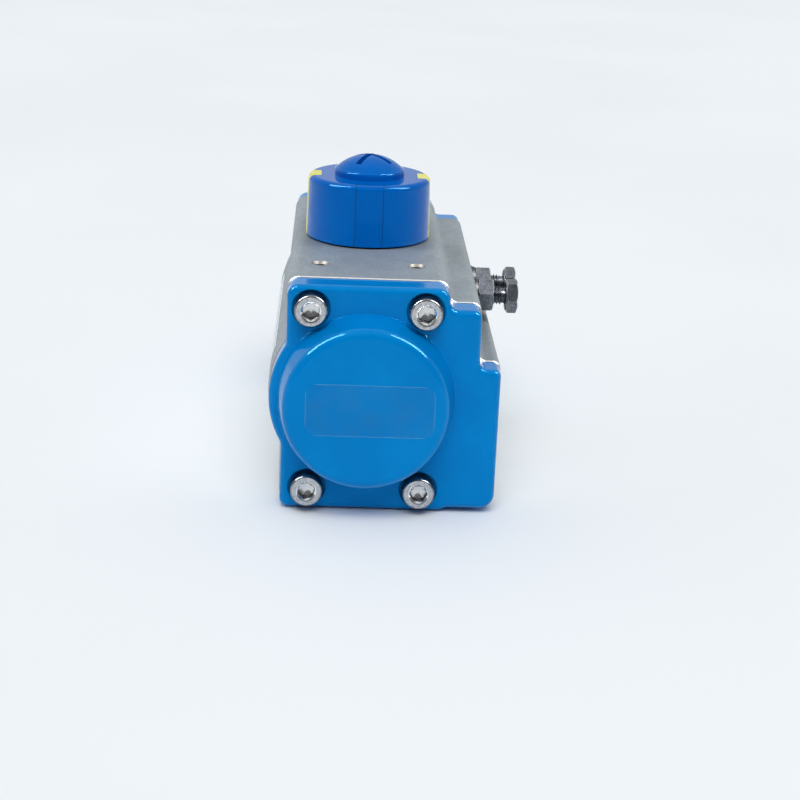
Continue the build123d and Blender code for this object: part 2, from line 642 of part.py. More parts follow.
def rack_tooth(y):
    """One straight-flanked rack tooth that points towards the shaft."""
    half_pitch = TOOTH_PITCH / 4 - FLANK_PLAY
    half_tip = half_pitch - RACK_ADDENDUM * tan(PRESSURE_ANGLE)
    half_root = half_pitch + (RACK_ROOT - PITCH_RADIUS) * tan(PRESSURE_ANGLE)
    back = RACK_ROOT + 0.5
    return make_face(Polyline(
        (RACK_TIP, y - half_tip), (RACK_ROOT, y - half_root), (back, y - half_root),
        (back, y + half_root), (RACK_ROOT, y + half_root), (RACK_TIP, y + half_tip), close=True))


def turned_to(solid, side):
    """The far piston's piece itself, or the same piece turned half round for the near side."""
    return solid if side == "far" else Rot(0, 0, 180) * solid


def piston(side):
    """A die-cast piston: a grooved head and a rack arm past the pinion."""
    inner = PISTON_FACE - PISTON_THICKNESS
    head = rod(PISTON_RADIUS, (0, inner, BORE_HEIGHT), (0, PISTON_FACE, BORE_HEIGHT))
    head = chamfer(head.edges().filter_by(GeomType.CIRCLE), 0.6)
    guide_from, guide_to = (0, GUIDE_FROM - 0.05, BORE_HEIGHT), (0, GUIDE_TO + 0.05, BORE_HEIGHT)
    head -= ring(PISTON_RADIUS + 1, GUIDE_ROOT, guide_from, guide_to)
    seal_from, seal_to = (0, SEAL_GROOVE_FROM, BORE_HEIGHT), (0, SEAL_GROOVE_TO, BORE_HEIGHT)
    head -= ring(PISTON_RADIUS + 1, SEAL_GROOVE_ROOT, seal_from, seal_to)
    pocket_floor = (0, PISTON_FACE - HEAD_POCKET_DEPTH, BORE_HEIGHT)
    head -= rod(HEAD_POCKET_RADIUS, pocket_floor, (0, PISTON_FACE + 1, BORE_HEIGHT))

    arm = rod(ARM_RADIUS, (0, ARM_END, BORE_HEIGHT), (0, inner + 1, BORE_HEIGHT))
    arm &= block((RACK_ROOT, ARM_END, ARM_BOTTOM), (30, inner + 1, ARM_TOP))
    arm -= block((SHOE_BACK, SHOE_FROM, SHOE_BOTTOM), (30, SHOE_TO, SHOE_TOP))
    solid = head + arm
    for i in range(-5, 2):
        tooth = Pos(0, 0, ARM_BOTTOM) * extrude(rack_tooth((i + 0.5) * TOOTH_PITCH), ARM_TOP - ARM_BOTTOM)
        solid += tooth
    return turned_to(solid, side)


def piston_guide_ring(side):
    """The plastic slide ring round a piston's head."""
    start, end = (0, GUIDE_FROM, BORE_HEIGHT), (0, GUIDE_TO, BORE_HEIGHT)
    band = ring(SEAL_RUN_RADIUS, GUIDE_ROOT + 0.05, start, end)
    gap = block((-0.5, GUIDE_FROM - 1, 58), (0.5, GUIDE_TO + 1, 64))
    return turned_to(band - gap, side)


def piston_o_ring(side):
    """The rubber ring that seals a piston's head."""
    centre = (0, (SEAL_GROOVE_FROM + SEAL_GROOVE_TO) / 2, BORE_HEIGHT)
    mean_radius = SEAL_RUN_RADIUS - PISTON_SEAL_SECTION
    return turned_to(o_ring(centre, (0, 1, 0), mean_radius, PISTON_SEAL_SECTION), side)


def thrust_shoe(side):
    """The plastic pad that carries a rack arm's back along the bore."""
    play = 0.05
    shoe = rod(SEAL_RUN_RADIUS, (0, SHOE_FROM + play, BORE_HEIGHT), (0, SHOE_TO - play, BORE_HEIGHT))
    slot = block((SHOE_BACK + play, SHOE_FROM, SHOE_BOTTOM + play), (30, SHOE_TO, SHOE_TOP - play))
    return turned_to(shoe & slot, side)


# ---- position indicator ----------------------------------------------------------------------

def indicator_blank():
    """The indicator's outer form before its slots: a slightly drafted drum with a soft rim."""
    drum = cone(INDICATOR_FOOT_RADIUS, INDICATOR_TOP_RADIUS, (0, 0, INDICATOR_BOTTOM), (0, 0, INDICATOR_TOP))
    return fillet(drum.edges().sort_by(Axis.Z)[-1], INDICATOR_RIM)


def slot_blocks(half_width, depth, axis):
    """The two opposite slots along X or Y at the drum's edge."""
    low, high = INDICATOR_BOTTOM - 1, INDICATOR_TOP + 1
    outside = INDICATOR_FOOT_RADIUS + 1.6
    if axis == "x":
        slot = block((depth, -half_width, low), (outside, half_width, high))
        return [slot, mirror(slot, Plane.YZ)]
    slot = block((-half_width, depth, low), (half_width, outside, high))
    return [slot, mirror(slot, Plane.XZ)]


def indicator_body():
    """The blue drum that shows the shaft's position, hollow below, keyed on the shaft's stub."""
    drum = indicator_blank()
    drum -= rod(INDICATOR_HOLLOW, (0, 0, INDICATOR_BOTTOM - 1), (0, 0, INDICATOR_HOLLOW_TOP))
    drum += rod(INDICATOR_HUB, (0, 0, NECK_TOP + 0.2), (0, 0, INDICATOR_HOLLOW_TOP + 0.5))
    stub = Circle(STUB_RADIUS + 0.05) & Rectangle(20, STUB_FLATS + 0.1)
    drum -= Pos(0, 0, NECK_TOP) * extrude(stub, 20)
    for cutter in slot_blocks(STRIPE_WIDTH / 2 + 0.06, STRIPE_DEPTH_X, "x"):
        drum -= cutter
    for cutter in slot_blocks(INSERT_WIDTH / 2 + 0.08, STRIPE_DEPTH_X, "y"):
        drum -= cutter
    return drum


def indicator_pieces(width, axis):
    """Two opposite slot inserts, flush with the drum, their long outer edges softened."""
    blank = indicator_blank()
    pieces = []
    for cutter in slot_blocks(width / 2, STRIPE_DEPTH_X + 0.05, axis):
        pieces.append(blank & cutter)
    return Compound(children=pieces)


def indicator_screw():
    """The domed plastic nut with a cross slot that clamps the drum to the shaft."""
    centre = DOME_NUT_TOP - DOME_NUT_SPHERE
    shoulder = DOME_NUT_SHOULDER
    shoulder_z = centre + sqrt(DOME_NUT_SPHERE ** 2 - shoulder ** 2)
    halfway = shoulder / 2
    halfway_z = centre + sqrt(DOME_NUT_SPHERE ** 2 - halfway ** 2)
    base = INDICATOR_TOP + 0.03
    outline = [
        Line((0, base), (DOME_NUT_RADIUS, base)),
        Line((DOME_NUT_RADIUS, base), (DOME_NUT_RADIUS, DOME_NUT_RIM_TOP)),
        ThreePointArc((DOME_NUT_RADIUS, DOME_NUT_RIM_TOP), (11.25, 94.35), (shoulder, shoulder_z)),
        ThreePointArc((shoulder, shoulder_z), (halfway, halfway_z), (0, DOME_NUT_TOP)),
        Line((0, DOME_NUT_TOP), (0, base)),
    ]
    dome = revolve(make_face(Plane.XZ * Wire(outline)), Axis.Z)
    x, y = CROSS_SLOT_LENGTH / 2, CROSS_SLOT_WIDTH / 2
    for angle in (60, 150):
        dome -= Rot(0, 0, angle) * block((-x, -y, CROSS_SLOT_FLOOR), (x, y, DOME_NUT_TOP + 1))
    return dome + rod(M6_RADIUS - 0.05, (0, 0, 80), (0, 0, base))


# ---- write every piece -----------------------------------------------------------------------

def all_pieces():
    """Every node by name."""
    pieces = {
        "body": body(),
        "cap_label": cap_label(),
        "nameplate": nameplate(),
        "drive_shaft": drive_shaft(),
        "stop_cam": stop_cam(),
        "shaft_bushing_top": shaft_bushing_top(),
        "shaft_guide_ring_bottom": shaft_guide_ring(),
        "shaft_o_ring_bottom": shaft_o_ring(FOOT_GROOVE_BOTTOM, FOOT_GROOVE_TOP, FOOT_GROOVE),
        "shaft_o_ring_top": shaft_o_ring(TOP_GROOVE_BOTTOM, TOP_GROOVE_TOP, TOP_GROOVE),
        "thrust_bearing": ring(12.0, TOP_JOURNAL + 0.1, (0, 0, BODY_HEIGHT), (0, 0, BEARING_TOP)),
        "thrust_washer": ring(11.5, TOP_JOURNAL + 0.05, (0, 0, BEARING_TOP + 0.05), (0, 0, WASHER_TOP)),
        "snap_ring": snap_ring(),
        "indicator_body": indicator_body(),
        "indicator_stripes": indicator_pieces(STRIPE_WIDTH, "x"),
        "indicator_inserts": indicator_pieces(INSERT_WIDTH, "y"),
        "indicator_screw": indicator_screw(),
    }
    makers = [end_cap, end_cap_seal, end_cap_screws, stop_bolt, stop_nut, stop_washer, stop_seal,
              piston, piston_guide_ring, piston_o_ring, thrust_shoe]
    for maker in makers:
        for side in SIDES:
            pieces[f"{maker.__name__}_{side}"] = maker(side)
    return pieces


os.makedirs("parts", exist_ok=True)
for node, solid in all_pieces().items():
    export_step(solid, f"parts/{node}.step")
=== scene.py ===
"""The looks of a rack-and-pinion quarter-turn pneumatic actuator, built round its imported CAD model.

Frame: metres, origin on the drive shaft at the mounting face, +Z up along the shaft, -Y towards
the near end cap, +X towards the air ports and the stop bolts.
"""

import json
from math import cos, pi, radians, sin, tan

import bmesh
import bpy
from mathutils import Matrix, Vector


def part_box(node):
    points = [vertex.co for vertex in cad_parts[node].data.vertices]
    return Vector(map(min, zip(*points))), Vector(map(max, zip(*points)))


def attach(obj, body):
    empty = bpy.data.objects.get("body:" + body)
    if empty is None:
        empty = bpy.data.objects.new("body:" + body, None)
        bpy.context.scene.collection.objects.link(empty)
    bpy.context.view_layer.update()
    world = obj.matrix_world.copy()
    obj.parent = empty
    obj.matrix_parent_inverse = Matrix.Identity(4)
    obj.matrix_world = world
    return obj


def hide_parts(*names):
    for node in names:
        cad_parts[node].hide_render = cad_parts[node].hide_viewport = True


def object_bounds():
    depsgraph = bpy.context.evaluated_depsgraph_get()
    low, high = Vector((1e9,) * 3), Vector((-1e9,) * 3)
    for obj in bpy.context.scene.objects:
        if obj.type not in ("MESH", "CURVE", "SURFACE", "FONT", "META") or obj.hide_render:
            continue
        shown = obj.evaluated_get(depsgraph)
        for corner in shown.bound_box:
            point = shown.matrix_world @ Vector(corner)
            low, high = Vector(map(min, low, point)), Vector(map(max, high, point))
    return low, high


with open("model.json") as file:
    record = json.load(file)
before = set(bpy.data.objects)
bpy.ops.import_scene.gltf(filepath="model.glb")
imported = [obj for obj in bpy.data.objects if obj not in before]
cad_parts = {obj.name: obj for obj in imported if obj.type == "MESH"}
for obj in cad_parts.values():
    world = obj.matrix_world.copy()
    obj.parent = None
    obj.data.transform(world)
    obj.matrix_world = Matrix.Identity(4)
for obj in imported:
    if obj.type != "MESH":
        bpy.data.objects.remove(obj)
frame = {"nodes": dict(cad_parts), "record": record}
CAD_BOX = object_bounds()

MM = 0.001
SIDES = ("near", "far")
NODES = frame["nodes"]
MOUNTS = {mount["name"]: mount for mount in frame["record"]["mounts"]}
BODY_LOW, BODY_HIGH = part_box("body")

# camera: a short telephoto, looking slightly down on the near end cap
CAMERA_PLACE = Vector((-11.26, -606.1, 217.22)) * MM
CAMERA_YAW = radians(2.31)
CAMERA_PITCH = radians(18.483)
CAMERA_ROLL = radians(2.465)
CAMERA_LENS = 84.13
CAMERA_SENSOR = 36.0

# stage, in metres
FLOOR_HALF = 6.0
FLOOR_GAP = 0.1 * MM
STRIP_LEAN = (0.645, 0.755)
STRIP_FORWARD = -0.12
STRIP_DISTANCE = 0.9
STRIP_SIZE = (0.62, 0.26)
STRIP_RADIANCE = 30.0
KEY_STRENGTH = 1.72
KEY_WIDTH = radians(45)
KEY_TILT = radians(32)
ROOM_COLOUR = (0.93, 0.965, 1.0, 1.0)

# housing, in millimetres
BORE_HEIGHT = 36.0
BORE_RADIUS = 26.0
FOOT_BORE_RADIUS = 11.7
PORT_HEIGHT = 25.0

# stop bolts and their nuts: widths and heights in millimetres, turns about their own axes
HEX_SIZE = 10.0
HEX_HEAD = 4.0
HEX_FACE = 0.965
HEX_CHAMFER = tan(radians(28))
HEX_WASHER_FACE = 0.25
HEX_DISH = 0.18
NUT_HEIGHT = 5.2
NUT_TURN = radians(-18)
BOLT_TURN = {"near": radians(3), "far": radians(25)}

# cap screws: sizes in millimetres, socket turns by the screw's column and row
CAP_HEAD_RADIUS = 5.0
CAP_HEAD_HEIGHT = 6.0
CAP_SCREW_LENGTH = 20.0
CAP_HEX = 5.0
CAP_MOUTH = 3.08
CAP_SOCKET_FLOOR = 2.9
CAP_KNURL = 0.035
CAP_TURNS = {(0, 0): radians(-15), (1, 0): radians(30), (0, 1): 0.0, (1, 1): radians(16)}

M6_MAJOR, M6_MINOR, M6_PITCH = 2.97, 2.4, 1.0
ROUND = 96
SHARP_EDGE = radians(32)

# threads cut in the housing, in millimetres: mount name, pitch, depth, ridge, radius of the rim darkened as
# painted shade
HOUSING_THREADS = [
    ("namur_top", 0.8, 8.0, 0.3, 2.86),
    ("iso5211_f05", 1.0, 10.0, 0.35, 2.55),
    ("iso5211_f03", 0.8, 8.0, 0.3, 2.15),
    ("solenoid_bolts", 0.8, 8.0, 0.3, 2.62),
    ("air_ports", 1.337, 11.0, 0.45, 6.62),
]


# ---- materials: a node tree in a few words -----------------------------------------------------

def display(red, green, blue):
    """A linear colour from its 8-bit display values."""
    def channel(value):
        share = value / 255
        return share / 12.92 if share <= 0.04045 else ((share + 0.055) / 1.055) ** 2.4
    return (channel(red), channel(green), channel(blue), 1.0)


class Surface:
    """A Principled material whose detail comes from the piece's own coordinates, in millimetres."""

    def __init__(self, name, constants):
        self.material = bpy.data.materials.new(name)
        self.material.use_nodes = True
        self.tree = self.material.node_tree
        self.shader = self.tree.nodes["Principled BSDF"]
        for socket, value in constants.items():
            self.shader.inputs[socket].default_value = value
        coordinates = self.node("ShaderNodeTexCoord")
        self.place = self.vector("SCALE", coordinates.outputs["Object"], scale=1 / MM)
        split = self.node("ShaderNodeSeparateXYZ", {"Vector": self.place})
        self.x, self.y, self.z = split.outputs
        self.normal = None

    def node(self, kind, inputs=None, **settings):
        """A new node, each input linked to a socket or set to a value."""
        made = self.tree.nodes.new(kind)
        for key, value in settings.items():
            setattr(made, key, value)
        for key, value in (inputs or {}).items():
            if isinstance(value, bpy.types.NodeSocket):
                self.tree.links.new(value, made.inputs[key])
            elif value is not None:
                made.inputs[key].default_value = value
        return made

    def vector(self, operation, a, b=None, scale=None):
        """Vector arithmetic."""
        inputs = {0: a, 1: b, "Scale": scale}
        return self.node("ShaderNodeVectorMath", inputs, operation=operation).outputs[0]

    def math(self, operation, a, b=None):
        """Arithmetic on one value."""
        return self.node("ShaderNodeMath", {0: a, 1: b}, operation=operation).outputs[0]

    def most(self, values):
        """The largest of several values."""
        largest = values[0]
        for value in values[1:]:
            largest = self.math("MAXIMUM", largest, value)
        return largest

    def length(self, u, v):
        """How far the plane's point (u, v) is from its origin."""
        flat = self.node("ShaderNodeCombineXYZ", {0: u, 1: v}).outputs[0]
        return self.node("ShaderNodeVectorMath", {0: flat}, operation="LENGTH").outputs["Value"]

    def noise(self, size, detail=2.0, stretch=(1, 1, 1), offset=0.0, distortion=0.0):
        """Soft noise from 0 to 1 with features about size millimetres across."""
        place = self.vector("MULTIPLY", self.place, stretch)
        place = self.vector("ADD", place, (offset, offset * 0.7, offset * 1.3))
        inputs = {"Vector": place, "Scale": 1 / size, "Detail": detail, "Distortion": distortion}
        return self.node("ShaderNodeTexNoise", inputs).outputs["Fac"]

    def rings(self, size):
        """Noise in rings about the piece's own Z axis, as a lathe tool leaves them."""
        place = self.node("ShaderNodeCombineXYZ", {0: self.length(self.x, self.y), 1: self.z}).outputs[0]
        inputs = {"Vector": place, "Scale": 1 / size, "Detail": 2.0}
        return self.node("ShaderNodeTexNoise", inputs).outputs["Fac"]

    def cells(self, size, offset=0.0):
        """Distance to the nearest of scattered points about size millimetres apart."""
        place = self.vector("ADD", self.place, (offset, offset, offset))
        return self.node("ShaderNodeTexVoronoi", {"Vector": place, "Scale": 1 / size}).outputs["Distance"]

    def ramp(self, value, low, high, to_low=0.0, to_high=1.0):
        """A smooth step of value from low to high."""
        inputs = {"Value": value, "From Min": low, "From Max": high, "To Min": to_low, "To Max": to_high}
        return self.node("ShaderNodeMapRange", inputs, interpolation_type="SMOOTHSTEP").outputs["Result"]

    def mix(self, factor, a, b):
        """One colour into another by factor."""
        mixer = self.node("ShaderNodeMix", data_type="RGBA")
        for index, value in ((0, factor), (6, a), (7, b)):
            if isinstance(value, bpy.types.NodeSocket):
                self.tree.links.new(value, mixer.inputs[index])
            else:
                mixer.inputs[index].default_value = value
        return mixer.outputs[2]

    def blend(self, factor, a, b):
        """One value into another by factor."""
        mixer = self.node("ShaderNodeMix", {0: factor, 2: a, 3: b}, data_type="FLOAT")
        return mixer.outputs[0]

    def within(self, u, v, radius, soft=0.06):
        """1 inside a circle of the plane whose two coordinates are u and v, else 0."""
        return self.ramp(self.length(u, v), radius - soft, radius + soft, 1.0, 0.0)

    def off(self, value, centre):
        """How far a coordinate's size is from centre."""
        return self.math("SUBTRACT", self.math("ABSOLUTE", value), centre)

    def bump(self, height, depth, strength=1.0):
        """Relief of depth millimetres where height is 1, over what is there already."""
        inputs = {"Height": height, "Distance": depth * MM, "Strength": strength, "Normal": self.normal}
        self.normal = self.node("ShaderNodeBump", inputs).outputs["Normal"]

    def finish(self, colour=None, roughness=None, metallic=None):
        """Links what was worked out into the shader."""
        sockets = {"Base Color": colour, "Roughness": roughness, "Metallic": metallic, "Normal": self.normal}
        for name, value in sockets.items():
            if isinstance(value, bpy.types.NodeSocket):
                self.tree.links.new(value, self.shader.inputs[name])
        return self.material


# ---- materials of the actuator -----------------------------------------------------------------

def half_spacing(name):
    """How far the holes of a mount's pattern lie from its middle along its two axes, in millimetres."""
    dims = MOUNTS[name]["dims"]
    if "pcd_mm" in dims:
        return (dims["pcd_mm"] / 2 * cos(pi / 4),) * 2
    return dims.get("spacing_x_mm", 0) / 2, dims.get("spacing_y_mm", 0) / 2


def tapped_holes(s):
    """1 in the housing's tapped holes and on their rims, else 0."""
    from_ports = s.math("SUBTRACT", s.z, PORT_HEIGHT)
    top = (s.x, s.y, s.ramp(s.z, 60, 61))
    bottom = (s.x, s.y, s.ramp(s.z, 11, 10))
    right = (s.y, from_ports, s.ramp(s.x, 28, 29))
    faces = {"namur_top": top, "iso5211_f05": bottom, "iso5211_f03": bottom, "solenoid_bolts": right,
             "air_ports": right}
    spots = []
    for name, _, _, _, rim in HOUSING_THREADS:
        u, v, face = faces[name]
        first, second = half_spacing(name)
        spots.append(s.math("MULTIPLY", s.within(s.off(u, first), s.off(v, second), rim), face))
    return s.most(spots)


def housing_finish():
    """Bead blasted, anodised aluminium, machined bright on its end faces and bores; its tapped holes and
    their rims are cut metal darkened as painted shade.
    """
    s = Surface("housing_aluminium", {"Metallic": 0.8})
    clouds = s.noise(9.0, detail=3, distortion=0.6)
    smears = s.noise(3.0, detail=4, stretch=(1, 0.35, 1), offset=31)
    grain = s.noise(0.35, detail=2, offset=7)
    speckle = s.noise(0.7, detail=3, offset=57)
    pits = s.cells(0.8, offset=3)
    blasted = s.mix(s.ramp(clouds, 0.3, 0.7), display(141, 150, 156), display(153, 161, 166))
    blasted = s.mix(s.ramp(smears, 0.35, 0.75, 0.0, 0.25), blasted, display(172, 177, 178))
    blasted = s.mix(s.ramp(speckle, 0.4, 0.62, 0.0, 0.5), blasted, display(126, 133, 137))
    blasted = s.mix(s.ramp(grain, 0.35, 0.65, 0.0, 0.4), blasted, display(112, 120, 125))
    blasted = s.mix(s.ramp(pits, 0.0, 0.12, 0.35, 0.0), blasted, display(96, 102, 106))

    half = (BODY_HIGH.y - BODY_LOW.y) / 2 / MM
    end_faces = s.ramp(s.math("ABSOLUTE", s.y), half - 0.24, half - 0.18)
    bore = s.within(s.x, s.math("SUBTRACT", s.z, BORE_HEIGHT), BORE_RADIUS + 0.05)
    foot = s.math("MULTIPLY", s.within(s.x, s.y, FOOT_BORE_RADIUS + 0.06), s.ramp(s.z, 21, 20))
    machined = s.most([end_faces, bore, foot])

    tool_marks = s.noise(0.25, detail=1, stretch=(0.08, 1, 1), offset=11)
    bright = s.mix(tool_marks, display(200, 194, 185), display(170, 166, 158))
    colour = s.mix(machined, blasted, bright)
    # painted shade: the tapped holes and their rims are cut metal with tool marks, coloured darker than the
    # blasted housing for the shade inside them
    cut_metal_and_shade = s.mix(tool_marks, display(132, 128, 122), display(100, 98, 95))
    colour = s.mix(tapped_holes(s), colour, cut_metal_and_shade)
    rough = s.ramp(grain, 0.3, 0.7, 0.46, 0.6)
    roughness = s.blend(machined, rough, 0.42)
    s.bump(s.blend(machined, grain, 0.5), 0.03, 0.55)
    s.bump(s.blend(machined, clouds, 0.5), 0.12, 0.25)
    return s.finish(colour, roughness)


def paint_finish():
    """Glossy blue powder coat with faint orange peel and dust."""
    s = Surface("cap_blue", {"Metallic": 0.0, "Specular IOR Level": 0.45, "Specular Tint": (0.1, 0.6, 1, 1)})
    clouds = s.noise(14.0, detail=2)
    peel = s.noise(1.5, detail=2, offset=5)
    fine = s.noise(0.3, detail=1, offset=19)
    specks = s.cells(2.4, offset=9)
    colour = s.mix(s.ramp(clouds, 0.3, 0.7), display(0, 126, 202), display(0, 133, 209))
    colour = s.mix(s.ramp(peel, 0.4, 0.8, 0.0, 0.18), colour, display(0, 117, 194))
    colour = s.mix(s.ramp(specks, 0.0, 0.05, 0.3, 0.0), colour, display(70, 160, 215))
    roughness = s.ramp(s.noise(4.0, detail=4, offset=23), 0.3, 0.75, 0.09, 0.14)
    s.bump(peel, 0.03, 0.35)
    s.bump(fine, 0.004, 0.3)
    return s.finish(colour, roughness)


def drum_seams(s):
    """1 along the joints between the drum and its four inserts, else 0."""
    seams = []
    for along, across, half_width in ((s.y, s.x, 4.39), (s.x, s.y, 4.03)):
        gap = s.math("ABSOLUTE", s.off(across, half_width))
        outside = s.ramp(s.math("ABSOLUTE", along), 15.5, 15.7)
        seams.append(s.math("MULTIPLY", s.ramp(gap, 0.2, 0.05), outside))
    return s.most(seams)


def moulded_finish(name, light, dark, roughness, specular=0.5, tint=(1, 1, 1, 1)):
    """Glossy moulded plastic: faint flow marks, fine scuffs, a soft wave and the drum's seams."""
    s = Surface(name, {"Metallic": 0.0, "Specular IOR Level": specular, "Specular Tint": tint})
    flow = s.noise(11.0, detail=3, stretch=(1, 1, 0.4), distortion=0.8)
    wave = s.noise(6.0, detail=1, offset=13)
    scuffs = s.noise(1.1, detail=5, stretch=(1, 0.2, 1), offset=41)
    fine = s.noise(0.22, detail=1, offset=3)
    colour = s.mix(s.ramp(flow, 0.25, 0.75), light, dark)
    seams = drum_seams(s)
    shadow = s.mix(0.5, dark, (0.0, 0.0, 0.0, 1.0))
    colour = s.mix(s.math("MULTIPLY", seams, 0.45), colour, shadow)
    worn = s.ramp(scuffs, 0.55, 0.8, 0.0, 0.06)
    rough = s.math("ADD", s.ramp(fine, 0.3, 0.7, roughness * 0.85, roughness * 1.2), worn)
    s.bump(wave, 0.03, 0.2)
    s.bump(fine, 0.003, 0.25)
    s.bump(seams, -0.12, 0.8)
    return s.finish(colour, rough)


def turned_steel_finish(name, light, dark, roughness):
    """Turned steel: fine rings about the piece's own Z axis, stains and small dents."""
    s = Surface(name, {"Metallic": 1.0, "Anisotropic": 0.3})
    rings = s.rings(0.16)
    stains = s.noise(1.8, detail=4, offset=17, distortion=1.0)
    dents = s.cells(0.9, offset=5)
    colour = s.mix(s.ramp(stains, 0.3, 0.75), light, dark)
    colour = s.mix(s.ramp(rings, 0.4, 0.7, 0.0, 0.3), colour, dark)
    colour = s.mix(s.ramp(dents, 0.0, 0.1, 0.5, 0.0), colour, display(70, 68, 66))
    rough = s.ramp(stains, 0.3, 0.8, roughness * 0.8, roughness * 1.4)
    s.bump(rings, 0.006, 0.5)
    s.bump(s.ramp(dents, 0.0, 0.12), 0.03, 0.4)
    return s.finish(colour, rough)


def cap_screw_finish():
    """Cold-formed stainless head: speckled face; a burnished countersink coloured near white as a painted
    highlight; the socket floor painted bright as a painted highlight; socket walls and head sides darker as
    painted shade.
    """
    s = Surface("stainless", {"Metallic": 1.0, "Anisotropic": 0.2})
    radius = s.length(s.x, s.y)
    rings = s.rings(0.2)
    speckle = s.noise(0.3, detail=3, offset=17)
    stains = s.noise(1.4, detail=3, offset=33)
    face = s.mix(s.ramp(stains, 0.3, 0.7), display(206, 208, 211), display(180, 182, 186))
    face = s.mix(s.ramp(speckle, 0.5, 0.68, 0.0, 0.65), face, display(112, 114, 120))
    face = s.mix(s.ramp(rings, 0.45, 0.7, 0.0, 0.35), face, display(138, 140, 144))
    edge = s.math("MULTIPLY", s.ramp(radius, 4.42, 4.5), s.ramp(radius, 4.66, 4.58))
    face = s.mix(s.math("MULTIPLY", edge, 0.6), face, display(92, 94, 98))
    top = s.ramp(s.z, 5.93, 5.97)
    # painted highlight: the countersink is burnished and smoother, and its near-white colour stands for the
    # light it catches
    burnished_highlight = s.math("MULTIPLY", s.ramp(radius, 3.16, 3.1), s.ramp(s.z, 5.2, 5.3))
    # painted highlight: the socket floor is coloured bright for the light it catches
    floor = s.math("MULTIPLY", s.ramp(radius, 2.6, 2.5), s.ramp(s.z, 3.2, 3.1))
    # painted shade: the socket walls and the head's sides are coloured darker than the top face
    shaded_wall = s.mix(s.ramp(speckle, 0.4, 0.65), display(150, 150, 150), display(100, 100, 102))
    colour = s.mix(top, shaded_wall, face)
    colour = s.mix(floor, colour, display(220, 220, 220))
    colour = s.mix(burnished_highlight, colour, display(240, 240, 240))
    rough = s.ramp(speckle, 0.4, 0.7, 0.16, 0.32)
    s.bump(rings, 0.006, 0.5)
    s.bump(speckle, 0.02, 0.5)
    return s.finish(colour, s.blend(burnished_highlight, rough, 0.12))


def hexagon_finish(name, low, high):
    """Dark drawn stainless hexagon from height low to high, its turned end chamfers lighter metal coloured
    near white as a painted highlight.
    """
    s = Surface(name, {"Metallic": 1.0, "Anisotropic": 0.2})
    radius = s.length(s.x, s.y)
    speckle = s.noise(0.35, detail=3, offset=12)
    stains = s.noise(1.8, detail=4, offset=17, distortion=1.0)
    colour = s.mix(s.ramp(stains, 0.3, 0.75), display(134, 138, 144), display(98, 102, 109))
    colour = s.mix(s.ramp(speckle, 0.45, 0.7, 0.0, 0.6), colour, display(66, 70, 77))
    sunk = s.math("MULTIPLY", s.math("SUBTRACT", radius, HEX_SIZE / 2 * HEX_FACE), HEX_CHAMFER)
    cones = []
    for from_end in (s.math("SUBTRACT", high, s.z), s.math("SUBTRACT", s.z, low)):
        cones.append(s.ramp(s.math("SUBTRACT", from_end, sunk), 0.03, 0.06, 1.0, 0.0))
    # painted highlight: the turned end chamfers are brighter metal, coloured near white for the light they
    # catch
    turned = s.math("MULTIPLY", s.most(cones), s.ramp(radius, 4.8, 4.86))
    colour = s.mix(turned, colour, display(236, 232, 224))
    rough = s.ramp(speckle, 0.3, 0.7, 0.2, 0.36)
    s.bump(speckle, 0.02, 0.5)
    return s.finish(colour, s.blend(turned, rough, 0.3))


def brushed_steel_finish(name, light, dark, roughness):
    """Ground steel: long fine scratches along X."""
    s = Surface(name, {"Metallic": 1.0, "Anisotropic": 0.45})
    lines = s.noise(0.18, detail=3, stretch=(0.06, 1, 1), offset=2)
    stains = s.noise(2.2, detail=4, offset=29, distortion=0.8)
    colour = s.mix(s.ramp(stains, 0.3, 0.75), light, dark)
    colour = s.mix(s.ramp(lines, 0.45, 0.7, 0.0, 0.4), colour, dark)
    rough = s.ramp(lines, 0.3, 0.75, roughness * 0.8, roughness * 1.3)
    s.bump(lines, 0.008, 0.5)
    return s.finish(colour, rough)


def cast_finish():
    """Die-cast piston aluminium, its turned head bands brighter than the cast arm."""
    s = Surface("piston_aluminium", {"Metallic": 0.9})
    skin = s.noise(1.6, detail=5, offset=8)
    turned = s.noise(0.3, detail=1, stretch=(0.02, 1, 0.02), offset=4)
    head = s.ramp(s.math("ABSOLUTE", s.y), 28.0, 28.4)
    cast = s.mix(s.ramp(skin, 0.3, 0.7), display(150, 152, 154), display(178, 180, 181))
    bright = s.mix(turned, display(208, 208, 206), display(180, 181, 182))
    s.bump(skin, 0.05, 0.5)
    return s.finish(s.mix(head, cast, bright), s.blend(head, 0.5, 0.28))


def matt_finish(name, light, dark, roughness, grain_size=0.4, depth=0.02):
    """A dull even material such as rubber or bearing plastic, with a fine grain."""
    s = Surface(name, {"Metallic": 0.0, "Specular IOR Level": 0.4})
    grain = s.noise(grain_size, detail=3, offset=6)
    clouds = s.noise(grain_size * 12, detail=2, offset=27)
    colour = s.mix(s.ramp(clouds, 0.3, 0.7), light, dark)
    rough = s.ramp(grain, 0.3, 0.7, roughness * 0.9, min(1.0, roughness * 1.15))
    s.bump(grain, depth, 0.5)
    return s.finish(colour, rough)


